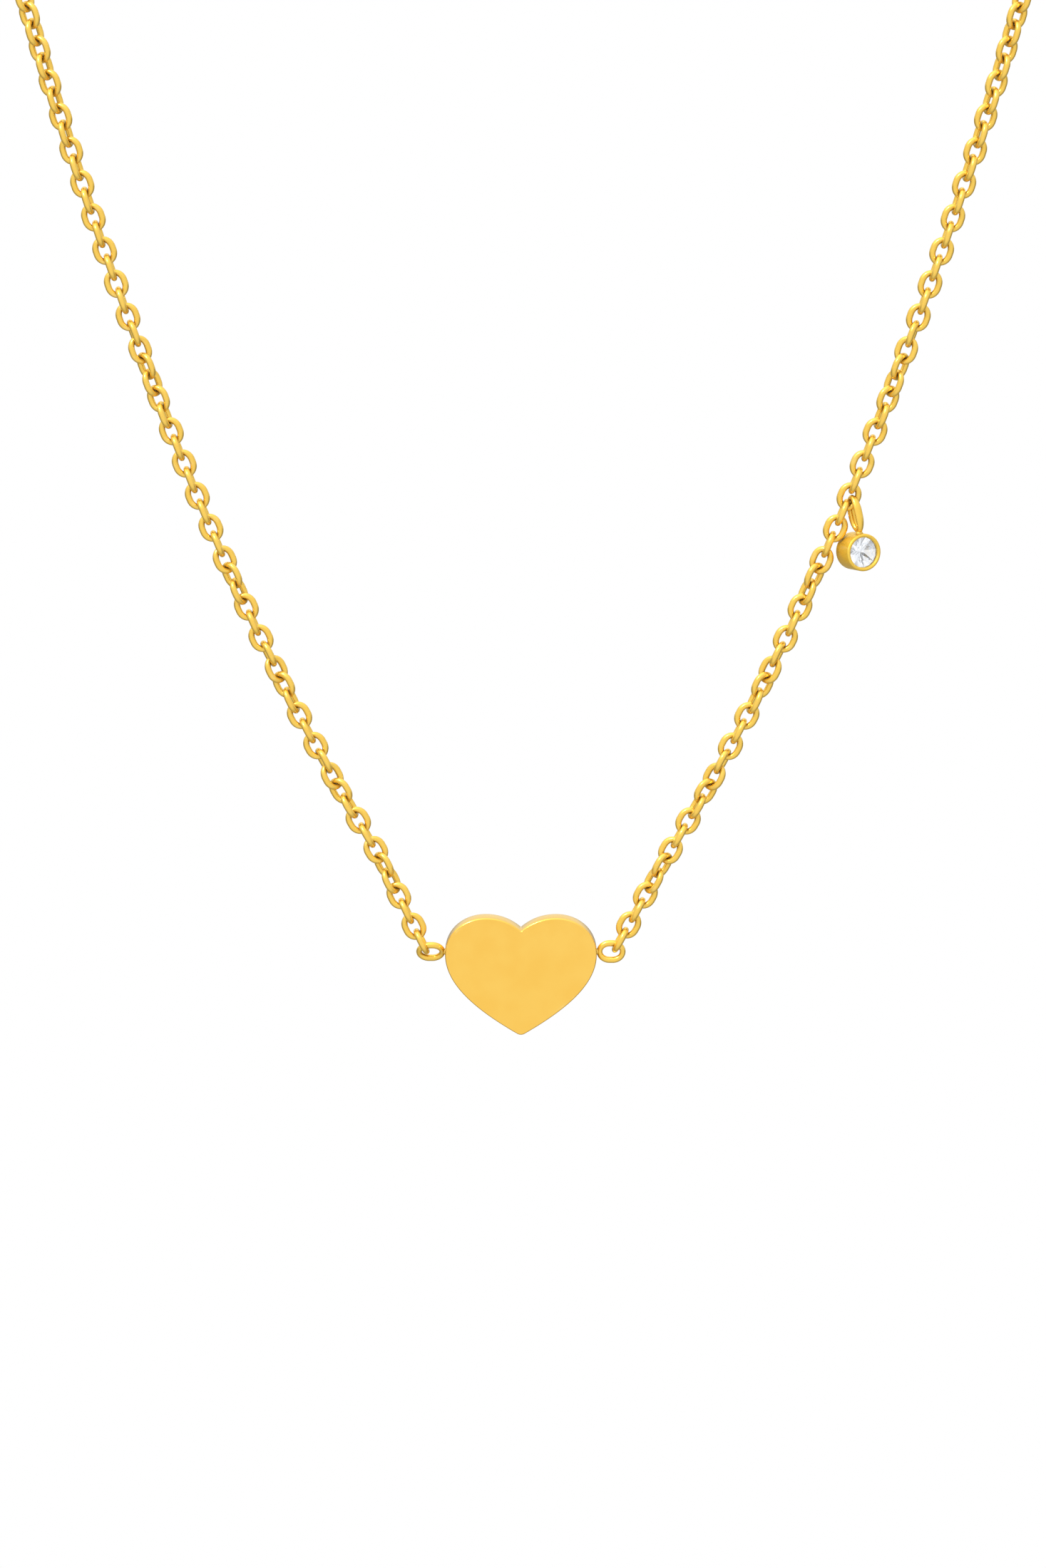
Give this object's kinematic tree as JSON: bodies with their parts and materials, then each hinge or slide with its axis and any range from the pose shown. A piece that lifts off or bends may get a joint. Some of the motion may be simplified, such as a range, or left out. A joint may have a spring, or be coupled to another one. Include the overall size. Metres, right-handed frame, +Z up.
{
  "type": "pendant necklace",
  "caption": "Fine cable-chain necklace with a flat heart plate between its arms, a bezel-set crystal charm on one arm and a spring-ring clasp.",
  "frame": {"origin": "middle of the heart plate's flat back face, level with the two rings soldered to its sides", "axes": "+X to the right as seen from the front, +Y out of the heart's back, +Z up along the hanging necklace"},
  "size_m": [0.1293, 0.004, 0.1916],
  "materials": {
    "gold_tone_metal": "polished gold-tone plating",
    "gold_tone_wire": "polished gold-tone wire",
    "clear_crystal": "clear brilliant-cut crystal",
    "spring_steel": "bright spring wire"
  },
  "bodies": {
    "heart": {"heart_plate": "gold_tone_metal", "left_heart_ring": "gold_tone_wire", "right_heart_ring": "gold_tone_wire"},
    "left_chain_01": {"left_chain_01": "gold_tone_wire"},
    "left_chain_02": {"left_chain_02": "gold_tone_wire"},
    "left_chain_03": {"left_chain_03": "gold_tone_wire"},
    "left_chain_04": {"left_chain_04": "gold_tone_wire"},
    "left_chain_05": {"left_chain_05": "gold_tone_wire"},
    "left_chain_06": {"left_chain_06": "gold_tone_wire"},
    "left_chain_07": {"left_chain_07": "gold_tone_wire"},
    "left_chain_08": {"left_chain_08": "gold_tone_wire"},
    "left_chain_09": {"left_chain_09": "gold_tone_wire"},
    "left_chain_10": {"left_chain_10": "gold_tone_wire"},
    "left_chain_11": {"left_chain_11": "gold_tone_wire"},
    "left_chain_12": {"left_chain_12": "gold_tone_wire"},
    "left_chain_13": {"left_chain_13": "gold_tone_wire"},
    "left_chain_14": {"left_chain_14": "gold_tone_wire"},
    "left_chain_15": {"left_chain_15": "gold_tone_wire"},
    "left_chain_16": {"left_chain_16": "gold_tone_wire"},
    "left_chain_17": {"left_chain_17": "gold_tone_wire"},
    "left_chain_18": {"left_chain_18": "gold_tone_wire"},
    "left_chain_19": {"left_chain_19": "gold_tone_wire"},
    "left_chain_20": {"left_chain_20": "gold_tone_wire"},
    "left_chain_21": {"left_chain_21": "gold_tone_wire"},
    "left_chain_22": {"left_chain_22": "gold_tone_wire"},
    "left_chain_23": {"left_chain_23": "gold_tone_wire"},
    "left_chain_24": {"left_chain_24": "gold_tone_wire"},
    "right_chain_01": {"right_chain_01": "gold_tone_wire"},
    "right_chain_02": {"right_chain_02": "gold_tone_wire"},
    "right_chain_03": {"right_chain_03": "gold_tone_wire"},
    "right_chain_04": {"right_chain_04": "gold_tone_wire"},
    "right_chain_05": {"right_chain_05": "gold_tone_wire"},
    "right_chain_06": {"right_chain_06": "gold_tone_wire"},
    "right_chain_07": {"right_chain_07": "gold_tone_wire"},
    "right_chain_08": {"right_chain_08": "gold_tone_wire"},
    "right_chain_09": {"right_chain_09": "gold_tone_wire"},
    "right_chain_10": {"right_chain_10": "gold_tone_wire"},
    "right_chain_11": {"right_chain_11": "gold_tone_wire"},
    "right_chain_12": {"right_chain_12": "gold_tone_wire"},
    "right_chain_13": {"right_chain_13": "gold_tone_wire"},
    "right_chain_14": {"right_chain_14": "gold_tone_wire"},
    "right_chain_15": {"right_chain_15": "gold_tone_wire"},
    "right_chain_16": {"right_chain_16": "gold_tone_wire"},
    "right_chain_17": {"right_chain_17": "gold_tone_wire"},
    "right_chain_18": {"right_chain_18": "gold_tone_wire"},
    "right_chain_19": {"right_chain_19": "gold_tone_wire"},
    "right_chain_20": {"right_chain_20": "gold_tone_wire"},
    "right_chain_21": {"right_chain_21": "gold_tone_wire"},
    "right_chain_22": {"right_chain_22": "gold_tone_wire"},
    "right_chain_23": {"right_chain_23": "gold_tone_wire"},
    "right_chain_24": {"right_chain_24": "gold_tone_wire"},
    "charm": {"bezel_cup": "gold_tone_metal", "crystal": "clear_crystal", "bezel_bail": "gold_tone_metal"},
    "clasp_jump_ring": {"clasp_jump_ring": "gold_tone_wire"},
    "clasp": {"clasp_body": "gold_tone_metal", "clasp_eye": "gold_tone_wire", "clasp_spring": "spring_steel"},
    "clasp_bolt": {"clasp_bolt": "gold_tone_metal"},
    "end_ring": {"end_ring": "gold_tone_wire"}
  },
  "joints": [
    {"name": "charm_swing", "type": "hinge", "parent": "right_chain_08", "child": "charm", "pos_m": [0.02808, -0.001, 0.0394], "axis": [0.4351, -0.8988, 0.0534], "range_deg": [0, 65]},
    {"name": "clasp_bolt_slide", "type": "hinge", "parent": "clasp", "child": "clasp_bolt", "pos_m": [-0.06316, -0.001, 0.18182], "axis": [0, 1, 0], "range_deg": [0, 58]},
    {"name": "clasp_swing", "type": "hinge", "parent": "clasp_jump_ring", "child": "clasp", "pos_m": [-0.06243, -0.001, 0.17767], "axis": [0, -1, 0], "range_deg": [-40, 40]},
    {"name": "clasp_jump_ring_swing", "type": "hinge", "parent": "left_chain_24", "child": "clasp_jump_ring", "pos_m": [-0.06208, -0.001, 0.17565], "axis": [0.985, 0, 0.1724], "range_deg": [-40, 40]},
    {"name": "end_ring_swing", "type": "hinge", "parent": "right_chain_24", "child": "end_ring", "pos_m": [0.06246, -0.001, 0.17559], "axis": [-0.985, 0, 0.1724], "range_deg": [-40, 40]},
    {"name": "left_chain_01_bend", "type": "hinge", "parent": "heart", "child": "left_chain_01", "pos_m": [-0.0083, -0.001, 0.00045], "axis": [-0.8942, 0, -0.4478], "range_deg": [-25, 5]},
    {"name": "left_chain_02_bend", "type": "hinge", "parent": "left_chain_01", "child": "left_chain_02", "pos_m": [-0.00896, -0.001, 0.00178], "axis": [0, 1, 0], "range_deg": [-25, 25]},
    {"name": "left_chain_03_bend", "type": "hinge", "parent": "left_chain_02", "child": "left_chain_03", "pos_m": [-0.01217, -0.001, 0.00848], "axis": [0.543, -0.7786, 0.3144], "range_deg": [-25, 25]},
    {"name": "left_chain_04_bend", "type": "hinge", "parent": "left_chain_03", "child": "left_chain_04", "pos_m": [-0.0159, -0.001, 0.01491], "axis": [0.7449, -0.5406, 0.3909], "range_deg": [-25, 25]},
    {"name": "left_chain_05_bend", "type": "hinge", "parent": "left_chain_04", "child": "left_chain_05", "pos_m": [-0.01935, -0.001, 0.02149], "axis": [-0.9015, 0, -0.4327], "range_deg": [-25, 25]},
    {"name": "left_chain_06_bend", "type": "hinge", "parent": "left_chain_05", "child": "left_chain_06", "pos_m": [-0.02256, -0.001, 0.02818], "axis": [0.9146, 0, 0.4044], "range_deg": [-25, 25]},
    {"name": "left_chain_07_bend", "type": "hinge", "parent": "left_chain_06", "child": "left_chain_07", "pos_m": [-0.02557, -0.001, 0.03498], "axis": [-0.853, -0.3827, -0.3549], "range_deg": [-25, 25]},
    {"name": "left_chain_08_bend", "type": "hinge", "parent": "left_chain_07", "child": "left_chain_08", "pos_m": [-0.02728, -0.001, 0.0391], "axis": [0, 1, 0], "range_deg": [-25, 25]},
    {"name": "left_chain_09_bend", "type": "hinge", "parent": "left_chain_08", "child": "left_chain_09", "pos_m": [-0.02784, -0.001, 0.04047], "axis": [0.9325, 0, 0.3612], "range_deg": [-25, 25]},
    {"name": "left_chain_10_bend", "type": "hinge", "parent": "left_chain_09", "child": "left_chain_10", "pos_m": [-0.03052, -0.001, 0.0474], "axis": [-0.2297, -0.9697, -0.0832], "range_deg": [-25, 25]},
    {"name": "left_chain_11_bend", "type": "hinge", "parent": "left_chain_10", "child": "left_chain_11", "pos_m": [-0.03305, -0.001, 0.05439], "axis": [-0.1899, 0.9797, -0.0646], "range_deg": [-25, 25]},
    {"name": "left_chain_12_bend", "type": "hinge", "parent": "left_chain_11", "child": "left_chain_12", "pos_m": [-0.03545, -0.001, 0.06142], "axis": [-0.9522, 0, -0.3056], "range_deg": [-25, 25]},
    {"name": "left_chain_13_bend", "type": "hinge", "parent": "left_chain_12", "child": "left_chain_13", "pos_m": [-0.03772, -0.001, 0.0685], "axis": [-0.2191, -0.9734, -0.0665], "range_deg": [-25, 25]},
    {"name": "left_chain_14_bend", "type": "hinge", "parent": "left_chain_13", "child": "left_chain_14", "pos_m": [-0.03987, -0.001, 0.0756], "axis": [0.8602, -0.4457, 0.2478], "range_deg": [-25, 25]},
    {"name": "left_chain_15_bend", "type": "hinge", "parent": "left_chain_14", "child": "left_chain_15", "pos_m": [-0.04193, -0.001, 0.08274], "axis": [0.6161, 0.7693, 0.1688], "range_deg": [-25, 25]},
    {"name": "left_chain_16_bend", "type": "hinge", "parent": "left_chain_15", "child": "left_chain_16", "pos_m": [-0.04389, -0.001, 0.08991], "axis": [0.5831, -0.798, 0.1523], "range_deg": [-25, 25]},
    {"name": "left_chain_17_bend", "type": "hinge", "parent": "left_chain_16", "child": "left_chain_17", "pos_m": [-0.04577, -0.001, 0.0971], "axis": [-0.8876, -0.4039, -0.2216], "range_deg": [-25, 25]},
    {"name": "left_chain_18_bend", "type": "hinge", "parent": "left_chain_17", "child": "left_chain_18", "pos_m": [-0.04757, -0.001, 0.10431], "axis": [-0.1788, 0.983, -0.0424], "range_deg": [-25, 25]},
    {"name": "left_chain_19_bend", "type": "hinge", "parent": "left_chain_18", "child": "left_chain_19", "pos_m": [-0.04997, -0.001, 0.11443], "axis": [0.9759, 0, 0.2184], "range_deg": [-25, 25]},
    {"name": "left_chain_20_bend", "type": "hinge", "parent": "left_chain_19", "child": "left_chain_20", "pos_m": [-0.05224, -0.001, 0.12458], "axis": [0, -1, 0], "range_deg": [-25, 25]},
    {"name": "left_chain_21_bend", "type": "hinge", "parent": "left_chain_20", "child": "left_chain_21", "pos_m": [-0.0544, -0.001, 0.13476], "axis": [-0.9803, 0, -0.1974], "range_deg": [-25, 25]},
    {"name": "left_chain_22_bend", "type": "hinge", "parent": "left_chain_21", "child": "left_chain_22", "pos_m": [-0.05645, -0.001, 0.14495], "axis": [0, 1, 0], "range_deg": [-25, 25]},
    {"name": "left_chain_23_bend", "type": "hinge", "parent": "left_chain_22", "child": "left_chain_23", "pos_m": [-0.05841, -0.001, 0.15517], "axis": [0.9837, 0, 0.18], "range_deg": [-25, 25]},
    {"name": "left_chain_24_bend", "type": "hinge", "parent": "left_chain_23", "child": "left_chain_24", "pos_m": [-0.06028, -0.001, 0.1654], "axis": [0, -1, 0], "range_deg": [-25, 25]},
    {"name": "right_chain_01_bend", "type": "hinge", "parent": "heart", "child": "right_chain_01", "pos_m": [0.00828, -0.001, 0.0006], "axis": [0.8738, 0, -0.4863], "range_deg": [-25, 25]},
    {"name": "right_chain_02_bend", "type": "hinge", "parent": "right_chain_01", "child": "right_chain_02", "pos_m": [0.009, -0.001, 0.0019], "axis": [0, 1, 0], "range_deg": [-25, 25]},
    {"name": "right_chain_03_bend", "type": "hinge", "parent": "right_chain_02", "child": "right_chain_03", "pos_m": [0.01256, -0.001, 0.00842], "axis": [-0.543, -0.7786, 0.3144], "range_deg": [-25, 25]},
    {"name": "right_chain_04_bend", "type": "hinge", "parent": "right_chain_03", "child": "right_chain_04", "pos_m": [0.01628, -0.001, 0.01485], "axis": [-0.7449, -0.5406, 0.3909], "range_deg": [-25, 25]},
    {"name": "right_chain_05_bend", "type": "hinge", "parent": "right_chain_04", "child": "right_chain_05", "pos_m": [0.01973, -0.001, 0.02143], "axis": [0.9015, 0, -0.4327], "range_deg": [-25, 25]},
    {"name": "right_chain_06_bend", "type": "hinge", "parent": "right_chain_05", "child": "right_chain_06", "pos_m": [0.02295, -0.001, 0.02813], "axis": [-0.9146, 0, 0.4044], "range_deg": [-25, 25]},
    {"name": "right_chain_07_bend", "type": "hinge", "parent": "right_chain_06", "child": "right_chain_07", "pos_m": [0.02595, -0.001, 0.03492], "axis": [0.853, -0.3827, -0.3549], "range_deg": [-25, 25]},
    {"name": "right_chain_08_bend", "type": "hinge", "parent": "right_chain_07", "child": "right_chain_08", "pos_m": [0.02767, -0.001, 0.03904], "axis": [0, 1, 0], "range_deg": [-25, 0]},
    {"name": "right_chain_09_bend", "type": "hinge", "parent": "right_chain_08", "child": "right_chain_09", "pos_m": [0.02822, -0.001, 0.04042], "axis": [-0.9325, 0, 0.3612], "range_deg": [-25, 25]},
    {"name": "right_chain_10_bend", "type": "hinge", "parent": "right_chain_09", "child": "right_chain_10", "pos_m": [0.03091, -0.001, 0.04735], "axis": [0.2297, -0.9697, -0.0832], "range_deg": [-25, 25]},
    {"name": "right_chain_11_bend", "type": "hinge", "parent": "right_chain_10", "child": "right_chain_11", "pos_m": [0.03344, -0.001, 0.05433], "axis": [0.1899, 0.9797, -0.0646], "range_deg": [-25, 25]},
    {"name": "right_chain_12_bend", "type": "hinge", "parent": "right_chain_11", "child": "right_chain_12", "pos_m": [0.03583, -0.001, 0.06137], "axis": [0.9522, 0, -0.3056], "range_deg": [-25, 25]},
    {"name": "right_chain_13_bend", "type": "hinge", "parent": "right_chain_12", "child": "right_chain_13", "pos_m": [0.0381, -0.001, 0.06844], "axis": [0.2191, -0.9734, -0.0665], "range_deg": [-25, 25]},
    {"name": "right_chain_14_bend", "type": "hinge", "parent": "right_chain_13", "child": "right_chain_14", "pos_m": [0.04026, -0.001, 0.07555], "axis": [-0.8602, -0.4457, 0.2478], "range_deg": [-25, 25]},
    {"name": "right_chain_15_bend", "type": "hinge", "parent": "right_chain_14", "child": "right_chain_15", "pos_m": [0.04232, -0.001, 0.08269], "axis": [-0.6161, 0.7693, 0.1688], "range_deg": [-25, 25]},
    {"name": "right_chain_16_bend", "type": "hinge", "parent": "right_chain_15", "child": "right_chain_16", "pos_m": [0.04428, -0.001, 0.08986], "axis": [-0.5831, -0.798, 0.1523], "range_deg": [-25, 25]},
    {"name": "right_chain_17_bend", "type": "hinge", "parent": "right_chain_16", "child": "right_chain_17", "pos_m": [0.04616, -0.001, 0.09704], "axis": [0.8876, -0.4039, -0.2216], "range_deg": [-25, 25]},
    {"name": "right_chain_18_bend", "type": "hinge", "parent": "right_chain_17", "child": "right_chain_18", "pos_m": [0.04796, -0.001, 0.10425], "axis": [0.1788, 0.983, -0.0424], "range_deg": [-25, 25]},
    {"name": "right_chain_19_bend", "type": "hinge", "parent": "right_chain_18", "child": "right_chain_19", "pos_m": [0.05036, -0.001, 0.11437], "axis": [-0.9759, 0, 0.2184], "range_deg": [-25, 25]},
    {"name": "right_chain_20_bend", "type": "hinge", "parent": "right_chain_19", "child": "right_chain_20", "pos_m": [0.05263, -0.001, 0.12453], "axis": [0, -1, 0], "range_deg": [-25, 25]},
    {"name": "right_chain_21_bend", "type": "hinge", "parent": "right_chain_20", "child": "right_chain_21", "pos_m": [0.05479, -0.001, 0.1347], "axis": [0.9803, 0, -0.1974], "range_deg": [-25, 25]},
    {"name": "right_chain_22_bend", "type": "hinge", "parent": "right_chain_21", "child": "right_chain_22", "pos_m": [0.05684, -0.001, 0.1449], "axis": [0, 1, 0], "range_deg": [-25, 25]},
    {"name": "right_chain_23_bend", "type": "hinge", "parent": "right_chain_22", "child": "right_chain_23", "pos_m": [0.0588, -0.001, 0.15511], "axis": [-0.9837, 0, 0.18], "range_deg": [-25, 25]},
    {"name": "right_chain_24_bend", "type": "hinge", "parent": "right_chain_23", "child": "right_chain_24", "pos_m": [0.06067, -0.001, 0.16535], "axis": [0, -1, 0], "range_deg": [-25, 25]}
  ]
}
